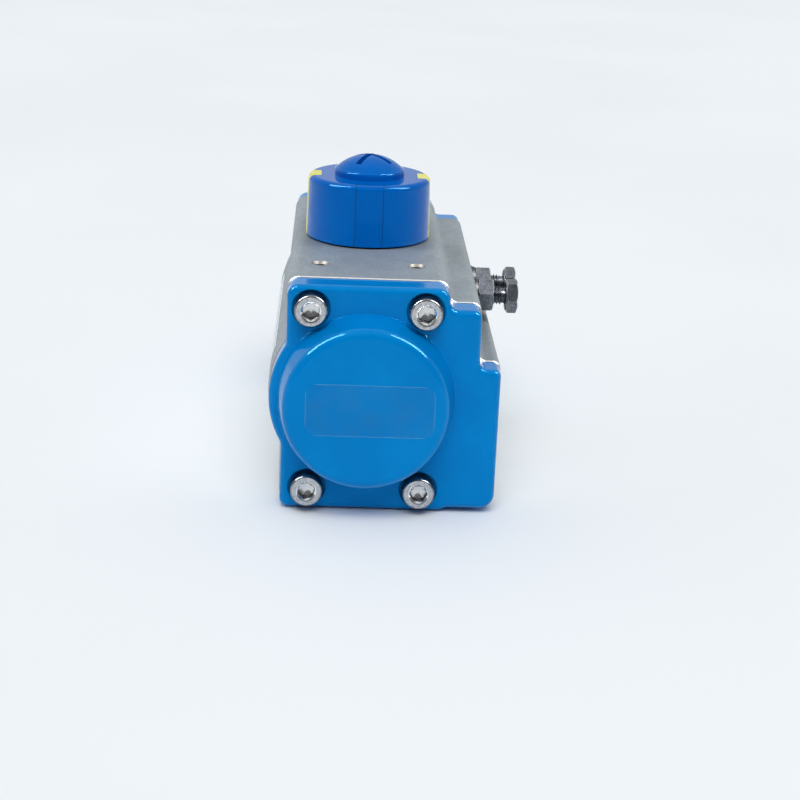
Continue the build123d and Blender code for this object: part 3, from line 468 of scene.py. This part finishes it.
def foil_finish():
    """A printed foil plate: a plain border and empty fields, with no lettering."""
    s = Surface("nameplate_foil", {"Metallic": 0.35})
    row_height = 4.0
    column_at = 12.0
    low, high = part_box("nameplate")
    middle = (low.z + high.z) / 2 / MM
    from_edge_y = s.math("SUBTRACT", high.y / MM, s.math("ABSOLUTE", s.y))
    rise = s.math("SUBTRACT", s.z, middle)
    from_edge_z = s.math("SUBTRACT", (high.z - low.z) / 2 / MM, s.math("ABSOLUTE", rise))
    edge = s.math("MINIMUM", from_edge_y, from_edge_z)
    border = s.math("MULTIPLY", s.ramp(edge, 0.8, 0.86), s.ramp(edge, 1.24, 1.18))
    inside = s.ramp(edge, 1.24, 1.3)
    above_zero = s.math("ADD", rise, 7.5 * row_height)
    in_row = s.math("SUBTRACT", s.math("MODULO", above_zero, row_height), row_height / 2)
    rows = s.ramp(s.math("ABSOLUTE", in_row), 0.14, 0.1)
    column = s.ramp(s.math("ABSOLUTE", s.math("SUBTRACT", s.y, column_at)), 0.2, 0.14)
    lines = s.math("MULTIPLY", s.math("MAXIMUM", rows, column), inside)
    ink = s.math("MAXIMUM", border, lines)
    sheen = s.noise(0.25, detail=2, stretch=(1, 0.05, 1))
    foil = s.mix(sheen, display(228, 232, 235), display(240, 243, 245))
    colour = s.mix(s.math("MULTIPLY", ink, 0.85), foil, display(60, 95, 140))
    s.bump(sheen, 0.004, 0.4)
    return s.finish(colour, s.ramp(sheen, 0.3, 0.7, 0.26, 0.36))


def film_finish():
    """Clear glossy label film: barely seen but for its rim and a few bubbles."""
    s = Surface("label_clear", {"Metallic": 0.0, "Specular IOR Level": 0.5})
    wave = s.noise(7.0, detail=1)
    bubbles = s.cells(1.9, offset=14)
    low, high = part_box("cap_label")
    half = (high - low) / 2 / MM
    from_side = s.math("SUBTRACT", half.x, s.math("ABSOLUTE", s.x))
    from_end = s.math("SUBTRACT", half.z, s.math("ABSOLUTE", s.y))
    rim = s.ramp(s.math("MINIMUM", from_side, from_end), 0.1, 0.3, 1.0, 0.0)
    spots = s.ramp(bubbles, 0.04, 0.1, 1.0, 0.0)
    clear = s.ramp(wave, 0.3, 0.7, 0.05, 0.1)
    marks = s.math("MAXIMUM", s.math("MULTIPLY", rim, 0.18), s.math("MULTIPLY", spots, 0.2))
    s.tree.links.new(s.math("ADD", clear, marks), s.shader.inputs["Alpha"])
    s.bump(wave, 0.02, 0.3)
    colour = s.mix(rim, display(40, 150, 215), display(120, 195, 235))
    return s.finish(colour, s.ramp(wave, 0.3, 0.7, 0.1, 0.16))


def make_finishes():
    """Every material by the record's slot name, and the few that only pieces made here use."""
    return {
        "housing_aluminium": housing_finish(),
        "cap_blue": paint_finish(),
        "indicator_blue": moulded_finish(
            "indicator_blue", display(0, 96, 187), display(0, 103, 194), 0.04, 0.3, (0.1, 0.55, 1, 1)),
        "indicator_yellow": moulded_finish(
            "indicator_yellow", display(242, 235, 112), display(236, 228, 98), 0.3),
        "stainless": cap_screw_finish(),
        "stop_stainless": hexagon_finish("stop_stainless", HEX_WASHER_FACE, HEX_HEAD),
        "nut_stainless": hexagon_finish("nut_stainless", 0.0, NUT_HEIGHT),
        "washer_steel": turned_steel_finish(
            "washer_steel", display(84, 85, 88), display(62, 63, 66), 0.5),
        "shaft_steel": turned_steel_finish(
            "shaft_steel", display(186, 184, 178), display(150, 148, 142), 0.26),
        "cam_steel": brushed_steel_finish("cam_steel", display(160, 158, 154), display(128, 126, 122), 0.34),
        "spring_steel": matt_finish(
            "spring_steel", display(58, 58, 60), display(74, 73, 72), 0.38, 0.3, 0.01),
        "bearing_plastic": matt_finish(
            "bearing_plastic", display(226, 221, 204), display(216, 210, 190), 0.42),
        "seal_rubber": matt_finish("seal_rubber", display(26, 26, 27), display(36, 36, 37), 0.6, 0.25),
        "piston_aluminium": cast_finish(),
        "nameplate_foil": foil_finish(),
        "label_clear": film_finish(),
    }


def paint_cad_nodes(finishes):
    """Gives each CAD node the material of its slot."""
    slots = {part["node"]: part["material_slot"] for part in frame["record"]["subparts"]}
    for name, obj in NODES.items():
        obj.data.materials.clear()
        obj.data.materials.append(finishes[slots[name]])


# ---- mesh helpers ------------------------------------------------------------------------------

LOCAL = Matrix.Scale(MM, 4)


def lathe(bm, rings, segments, matrix):
    """A closed skin through rings of (radius, height), each a number or a function of the angle."""
    loops = []
    for radius, height in rings:
        if radius == 0:
            loops.append([bm.verts.new(matrix @ Vector((0, 0, height)))])
            continue
        loop = []
        for i in range(segments):
            a = 2 * pi * i / segments
            r = radius(a) if callable(radius) else radius
            h = height(a) if callable(height) else height
            loop.append(bm.verts.new(matrix @ Vector((r * cos(a), r * sin(a), h))))
        loops.append(loop)
    for one, two in zip(loops, loops[1:]):
        for i in range(segments):
            j = (i + 1) % segments
            if len(one) == 1:
                bm.faces.new((one[0], two[i], two[j]))
            elif len(two) == 1:
                bm.faces.new((one[i], two[0], one[j]))
            else:
                bm.faces.new((one[i], two[i], two[j], one[j]))
    return loops


def close_tube(bm, loops, segments):
    """Joins a lathe's last ring to its first, for a ring-shaped piece."""
    first, last = loops[0], loops[-1]
    for i in range(segments):
        j = (i + 1) % segments
        bm.faces.new((last[i], first[i], first[j], last[j]))


def thread(bm, root, crest, pitch, start, end, matrix, steps=36):
    """A closed helical ridge on a screw, or in a hole where crest is less than root."""
    turns = (end - start) / pitch - 1
    count = int(turns * steps)
    bury = 0.06 if crest > root else -0.06
    root_half = 0.42 * pitch
    crest_half = 0.08 * pitch
    sections = []
    for i in range(count + 1):
        a = 2 * pi * i / steps
        middle = start + pitch / 2 + pitch * i / steps
        ease = min(1.0, min(i, count - i) / (steps / 3))
        tip = root + (crest - root) * ease
        across = [
            (root - bury, middle - root_half), (tip, middle - crest_half),
            (tip, middle + crest_half), (root - bury, middle + root_half),
        ]
        points = [matrix @ Vector((r * cos(a), r * sin(a), h)) for r, h in across]
        sections.append([bm.verts.new(p) for p in points])
    for one, two in zip(sections, sections[1:]):
        for k in range(4):
            m = (k + 1) % 4
            bm.faces.new((one[k], one[m], two[m], two[k]))
    bm.faces.new(sections[0])
    bm.faces.new(list(reversed(sections[-1])))


def hexagon_reach(size, turn=0.0):
    """The radius of a hexagon by its width across flats, as a function of the angle."""
    def reach(a):
        off = (a - turn + pi / 6) % (pi / 3) - pi / 6
        return size / 2 / cos(off)
    return reach


def make_piece(name, bm, place, body, finish, stands_for=()):
    """Turns local mesh code into a piece at place that rides on a body."""
    bmesh.ops.recalc_face_normals(bm, faces=bm.faces)
    mesh = bpy.data.meshes.new(name)
    bm.to_mesh(mesh)
    bm.free()
    mesh.polygons.foreach_set("use_smooth", [True] * len(mesh.polygons))
    mesh.set_sharp_from_angle(angle=SHARP_EDGE)
    mesh.materials.append(finish)
    piece = bpy.data.objects.new(name, mesh)
    bpy.context.scene.collection.objects.link(piece)
    piece.matrix_world = place
    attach(piece, body)
    if stands_for:
        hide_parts(*stands_for)


# ---- fasteners ---------------------------------------------------------------------------------

def axis_place(point, direction, turn=0.0):
    """Where a piece modelled along its own Z goes: at point, along direction, turned about it."""
    turned = Vector(direction).to_track_quat("Z", "Y").to_matrix().to_4x4() @ Matrix.Rotation(turn, 4, "Z")
    return Matrix.Translation(point) @ turned


def chamfered_hexagon(low, high, inner_low, inner_high):
    """The lathe rings of a hexagon prism whose corners are turned off at both ends."""
    reach = hexagon_reach(HEX_SIZE, pi / 6)
    flat = HEX_SIZE / 2 * HEX_FACE
    soft = 0.06
    dip = soft * HEX_CHAMFER

    def sunk(a):
        return (reach(a) - flat) * HEX_CHAMFER

    return [
        (inner_low, low), (flat - soft, low), (flat + soft, low + dip), (reach, lambda a: low + sunk(a)),
        (reach, lambda a: high - sunk(a)), (flat + soft, high - dip), (flat - soft, high), (inner_high, high),
    ]


def stop_bolt_piece(side, finish):
    """A hexagon head set bolt with a real M6 thread down to its tip."""
    low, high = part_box(f"stop_bolt_{side}")
    length = (high.x - low.x) / MM - HEX_HEAD
    underside = Vector((high.x - HEX_HEAD * MM, (low.y + high.y) / 2, (low.z + high.z) / 2))
    washer = 4.72
    dish = HEX_HEAD - HEX_DISH
    bm = bmesh.new()
    rings = [
        (0, -length), (M6_MINOR - 0.5, -length), (M6_MINOR, -length + 0.5), (M6_MINOR, -0.7),
        (M6_MINOR + 0.25, -0.25), (M6_MINOR + 0.6, -0.02), (washer - 0.12, 0.0), (washer, 0.1),
        (washer, HEX_WASHER_FACE),
    ]
    rings += chamfered_hexagon(HEX_WASHER_FACE, HEX_HEAD, washer, 4.2)[1:]
    rings += [(3.6, dish + 0.02), (3.2, dish), (0, dish)]
    lathe(bm, rings, ROUND, LOCAL)
    thread(bm, M6_MINOR, M6_MAJOR, M6_PITCH, -length + 0.1, -0.6, LOCAL)
    place = axis_place(underside, (1, 0, 0), BOLT_TURN[side])
    node = f"stop_bolt_{side}"
    make_piece(f"{node}_threaded", bm, place, node, finish, [node])


def stop_nut_piece(side, finish):
    """The lock nut, chamfered at both faces, its bore countersunk."""
    node = f"stop_nut_{side}"
    low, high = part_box(node)
    face = Vector((low.x, (low.y + high.y) / 2, (low.z + high.z) / 2))
    bm = bmesh.new()
    bore = M6_MAJOR + 0.02
    mouth = 3.55
    sink = 0.6
    rings = [(bore, sink)] + chamfered_hexagon(0.0, NUT_HEIGHT, mouth, mouth) + [(bore, NUT_HEIGHT - sink)]
    close_tube(bm, lathe(bm, rings, ROUND, LOCAL), ROUND)
    place = axis_place(face, (1, 0, 0), NUT_TURN)
    make_piece(f"{node}_chamfered", bm, place, "housing", finish, [node])


def stop_washer_piece(side, finish):
    """A punched washer: one edge rolled over, the other sharp."""
    node = f"stop_washer_{side}"
    low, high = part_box(node)
    face = Vector((low.x, (low.y + high.y) / 2, (low.z + high.z) / 2))
    outer = (high.y - low.y) / 2 / MM
    thick = (high.x - low.x) / MM
    bm = bmesh.new()
    bore = 3.2
    segments = 72
    rings = [
        (bore, 0.15), (bore + 0.15, 0.0), (outer - 0.1, 0.0), (outer, 0.1), (outer, thick - 0.35),
        (outer - 0.12, thick - 0.1), (outer - 0.38, thick), (bore + 0.2, thick), (bore, thick - 0.15),
    ]
    close_tube(bm, lathe(bm, rings, segments, LOCAL), segments)
    place = axis_place(face, (1, 0, 0))
    make_piece(f"{node}_rolled", bm, place, "housing", finish, [node])


def cap_screw_piece(name, place, finish, node):
    """An M6 socket head screw: knurled head, countersunk hexagon socket, threaded shank."""
    bm = bmesh.new()
    segments = 144
    knurls = 72
    head = CAP_HEAD_RADIUS
    top = CAP_HEAD_HEIGHT
    floor = CAP_SOCKET_FLOOR
    neck = M6_MAJOR - 0.02
    reach = hexagon_reach(CAP_HEX)

    def knurled(a):
        return head - CAP_KNURL + CAP_KNURL * cos(knurls * a)

    def rim(a):
        return top - (CAP_MOUTH - reach(a))

    def inside(gap):
        return lambda a: reach(a) - gap

    rings = [
        (0, -CAP_SCREW_LENGTH), (M6_MINOR - 0.5, -CAP_SCREW_LENGTH), (M6_MINOR, -CAP_SCREW_LENGTH + 0.5),
        (M6_MINOR, -2.2), (neck, -1.8), (neck, 0.0), (head - 0.25, 0.0),
        (head - 0.05, 0.2), (knurled, 0.45), (knurled, top - 1.0), (head - 0.04, top - 0.8),
        (head - 0.04, top - 0.5), (head - 0.13, top - 0.25), (head - 0.35, top - 0.05), (head - 0.55, top),
        (CAP_MOUTH + 0.06, top), (CAP_MOUTH - 0.03, top - 0.05), (reach, rim),
        (inside(0.015), lambda a: rim(a) - 0.08), (inside(0.02), floor + 0.16), (inside(0.14), floor + 0.02),
        (inside(0.22), floor), (0, floor - 1.35),
    ]
    lathe(bm, rings, segments, LOCAL)
    thread(bm, M6_MINOR, M6_MAJOR - 0.03, M6_PITCH, -CAP_SCREW_LENGTH + 0.1, -2.0, LOCAL)
    make_piece(name, bm, place, "housing", finish, [node])


def cap_screw_pieces(side, finish):
    """The four screws of one cap, each with its socket turned its own way."""
    node = f"end_cap_screws_{side}"
    low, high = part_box(node)
    head = CAP_HEAD_RADIUS * MM
    outward = -1 if side == "near" else 1
    top = low.y if side == "near" else high.y
    seat = top - outward * CAP_HEAD_HEIGHT * MM
    for i, x in enumerate((low.x + head, high.x - head)):
        for j, z in enumerate((low.z + head, high.z - head)):
            place = axis_place((x, seat, z), (0, outward, 0), CAP_TURNS[i, j])
            cap_screw_piece(f"cap_screw_{side}_{2 * i + j + 1}", place, finish, node)


def label_piece(finish):
    """The clear film label on the near cap's dome, with rounded corners and a crowned rim."""
    low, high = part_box("cap_label")
    half_width = (high.x - low.x) / 2 / MM
    half_height = (high.z - low.z) / 2 / MM
    lift = 0.02
    thickness = 0.08
    corner = 3.4
    corner_steps = 8
    bm = bmesh.new()

    def outline(inset):
        points = []
        radius = corner - inset
        for k, (sx, sz) in enumerate(((1, 1), (-1, 1), (-1, -1), (1, -1))):
            for i in range(corner_steps + 1):
                a = pi / 2 * (k + i / corner_steps)
                points.append((sx * (half_width - corner) + radius * cos(a),
                               sz * (half_height - corner) + radius * sin(a)))
        return points

    loops = []
    for inset, height in ((0.0, lift), (0.0, thickness * 0.6), (0.04, thickness * 0.9), (0.1, thickness)):
        loops.append([bm.verts.new(LOCAL @ Vector((x, z, height))) for x, z in outline(inset)])
    for one, two in zip(loops, loops[1:]):
        for i in range(len(one)):
            j = (i + 1) % len(one)
            bm.faces.new((one[i], one[j], two[j], two[i]))
    bm.faces.new(loops[-1])
    bm.faces.new(list(reversed(loops[0])))
    middle = (low + high) / 2
    upright = Matrix(((1, 0, 0), (0, 0, -1), (0, 1, 0))).to_4x4()
    place = Matrix.Translation((middle.x, high.y, middle.z)) @ upright
    make_piece("cap_label_film", bm, place, "housing", finish, ["cap_label"])


def hole_places(mount):
    """Each hole's mouth of a bolt pattern, in metres."""
    centre = Vector(mount["pos_m"])
    dims = mount["dims"]
    if "pcd_mm" in dims:
        radius = dims["pcd_mm"] / 2 * MM
        angles = [pi / 4 + pi / 2 * i for i in range(dims["count"])]
        return [centre + Vector((radius * cos(a), radius * sin(a), 0)) for a in angles]
    x, y, z = (Vector(axis) for axis in ((1, 0, 0), (0, 1, 0), (0, 0, 1)))
    first, second = (y, z) if mount["axis"][0] else (x, y)
    half_first, half_second = (spacing * MM for spacing in half_spacing(mount["name"]))
    signs = [(a, b) for a in (-1, 1) for b in ((-1, 1) if half_second else (0,))]
    return [centre + first * half_first * a + second * half_second * b for a, b in signs]


def housing_thread_pieces(finish):
    """A helical thread in every tapped hole of the housing."""
    countersink = 1.2
    run_out = 0.3
    faces = {"namur_top": (2, BODY_HIGH.z), "solenoid_bolts": (0, BODY_HIGH.x), "air_ports": (0, BODY_HIGH.x)}
    for name, pitch, depth, ridge, _ in HOUSING_THREADS:
        mount = MOUNTS[name]
        root = mount["dims"]["hole_r_mm"]
        for number, point in enumerate(hole_places(mount), 1):
            if name in faces:
                index, level = faces[name]
                point[index] = level
            bm = bmesh.new()
            thread(bm, root, root - ridge, pitch, -depth + run_out, -countersink, LOCAL, steps=30)
            place = axis_place(point, mount["axis"])
            make_piece(f"thread_{name}_{number}", bm, place, "housing", finish)


# ---- stage -------------------------------------------------------------------------------------

def make_floor():
    """A wide pale floor."""
    s = Surface("floor_paper", {"Specular IOR Level": 0.15})
    fibres = s.noise(2.0, detail=4)
    clouds = s.noise(300.0, detail=2, offset=50)
    colour = s.mix(s.ramp(clouds, 0.3, 0.7), display(239, 242, 244), display(243, 246, 248))
    s.bump(fibres, 0.05, 0.1)
    paper = s.finish(colour, s.ramp(fibres, 0.3, 0.7, 0.75, 0.85))
    mesh = bpy.data.meshes.new("floor")
    corners = [(x * FLOOR_HALF, y * FLOOR_HALF, 0) for x, y in ((-1, -1), (1, -1), (1, 1), (-1, 1))]
    mesh.from_pydata(corners, [], [(0, 1, 2, 3)])
    mesh.materials.append(paper)
    floor = bpy.data.objects.new("floor", mesh)
    bpy.context.scene.collection.objects.link(floor)
    floor.location.z = CAD_BOX[0].z - FLOOR_GAP


def add_strip(name, side):
    """A leaning strip panel on one side, seen only in reflections."""
    lean_x, lean_z = STRIP_LEAN
    target = (CAD_BOX[0] + CAD_BOX[1]) / 2
    back = Vector((lean_x * side, STRIP_FORWARD, lean_z)).normalized()
    light = bpy.data.lights.new(name, "AREA")
    light.shape = "RECTANGLE"
    light.size, light.size_y = STRIP_SIZE
    light.energy = STRIP_RADIANCE * pi * light.size * light.size_y
    along = Vector((lean_z * side, 0, -lean_x))
    along = (along - back * along.dot(back)).normalized()
    rotation = Matrix((along, back.cross(along), back)).transposed().to_4x4()
    panel = bpy.data.objects.new(name, light)
    panel.matrix_world = Matrix.Translation(target + back * STRIP_DISTANCE) @ rotation
    panel.visible_diffuse = False
    bpy.context.scene.collection.objects.link(panel)


def make_lights():
    """Soft light from above the camera, two leaning strip panels, and a room brightest behind."""
    add_strip("strip_left", -1)
    add_strip("strip_right", 1)

    sun = bpy.data.lights.new("soft_key", "SUN")
    sun.energy = KEY_STRENGTH
    sun.angle = KEY_WIDTH
    key = bpy.data.objects.new("soft_key", sun)
    key.rotation_euler = (KEY_TILT, 0, 0)
    key.visible_glossy = False
    bpy.context.scene.collection.objects.link(key)

    world = bpy.data.worlds.new("room")
    bpy.context.scene.world = world
    world.use_nodes = True
    tree = world.node_tree
    background = tree.nodes["Background"]
    background.inputs["Color"].default_value = ROOM_COLOUR
    direction = tree.nodes.new("ShaderNodeTexCoord").outputs["Generated"]
    split = tree.nodes.new("ShaderNodeSeparateXYZ")
    tree.links.new(direction, split.inputs[0])

    def gradient(value, low, high, to_low, to_high):
        node = tree.nodes.new("ShaderNodeMapRange")
        node.interpolation_type = "SMOOTHSTEP"
        tree.links.new(value, node.inputs["Value"])
        numbers = {"From Min": low, "From Max": high, "To Min": to_low, "To Max": to_high}
        for socket, number in numbers.items():
            node.inputs[socket].default_value = number
        return node.outputs["Result"]

    def combine(operation, a, b):
        node = tree.nodes.new("ShaderNodeMath")
        node.operation = operation
        tree.links.new(a, node.inputs[0])
        tree.links.new(b, node.inputs[1])
        return node.outputs[0]

    along = gradient(split.outputs["Y"], -0.7, 0.5, 0.15, 0.66)
    overhead = gradient(split.outputs["Z"], 0.5, 0.95, 0.0, 0.82)
    away_from_window = gradient(split.outputs["X"], 0.1, 0.8, 1.0, 0.7)
    strength = combine("MULTIPLY", combine("MAXIMUM", along, overhead), away_from_window)
    tree.links.new(strength, background.inputs["Strength"])


def make_camera():
    """The camera, from its place and its three angles."""
    camera = bpy.data.objects.new("camera", bpy.data.cameras.new("camera"))
    bpy.context.scene.collection.objects.link(camera)
    camera.data.lens = CAMERA_LENS
    camera.data.sensor_width = CAMERA_SENSOR
    camera.data.clip_start = 0.01
    camera.data.clip_end = 50.0
    rotation = Matrix.Rotation(-CAMERA_YAW, 4, "Z") @ Matrix.Rotation(pi / 2 - CAMERA_PITCH, 4, "X")
    rotation = rotation @ Matrix.Rotation(CAMERA_ROLL, 4, "Z")
    camera.matrix_world = Matrix.Translation(CAMERA_PLACE) @ rotation
    bpy.context.scene.camera = camera


def main():
    """Builds every piece and the stage."""
    make_camera()
    finishes = make_finishes()
    paint_cad_nodes(finishes)
    for side in SIDES:
        stop_bolt_piece(side, finishes["stop_stainless"])
        stop_nut_piece(side, finishes["nut_stainless"])
        stop_washer_piece(side, finishes["washer_steel"])
        cap_screw_pieces(side, finishes["stainless"])
    housing_thread_pieces(finishes["housing_aluminium"])
    label_piece(finishes["label_clear"])
    make_floor()
    make_lights()
    bpy.context.scene.view_settings.view_transform = "Standard"


main()
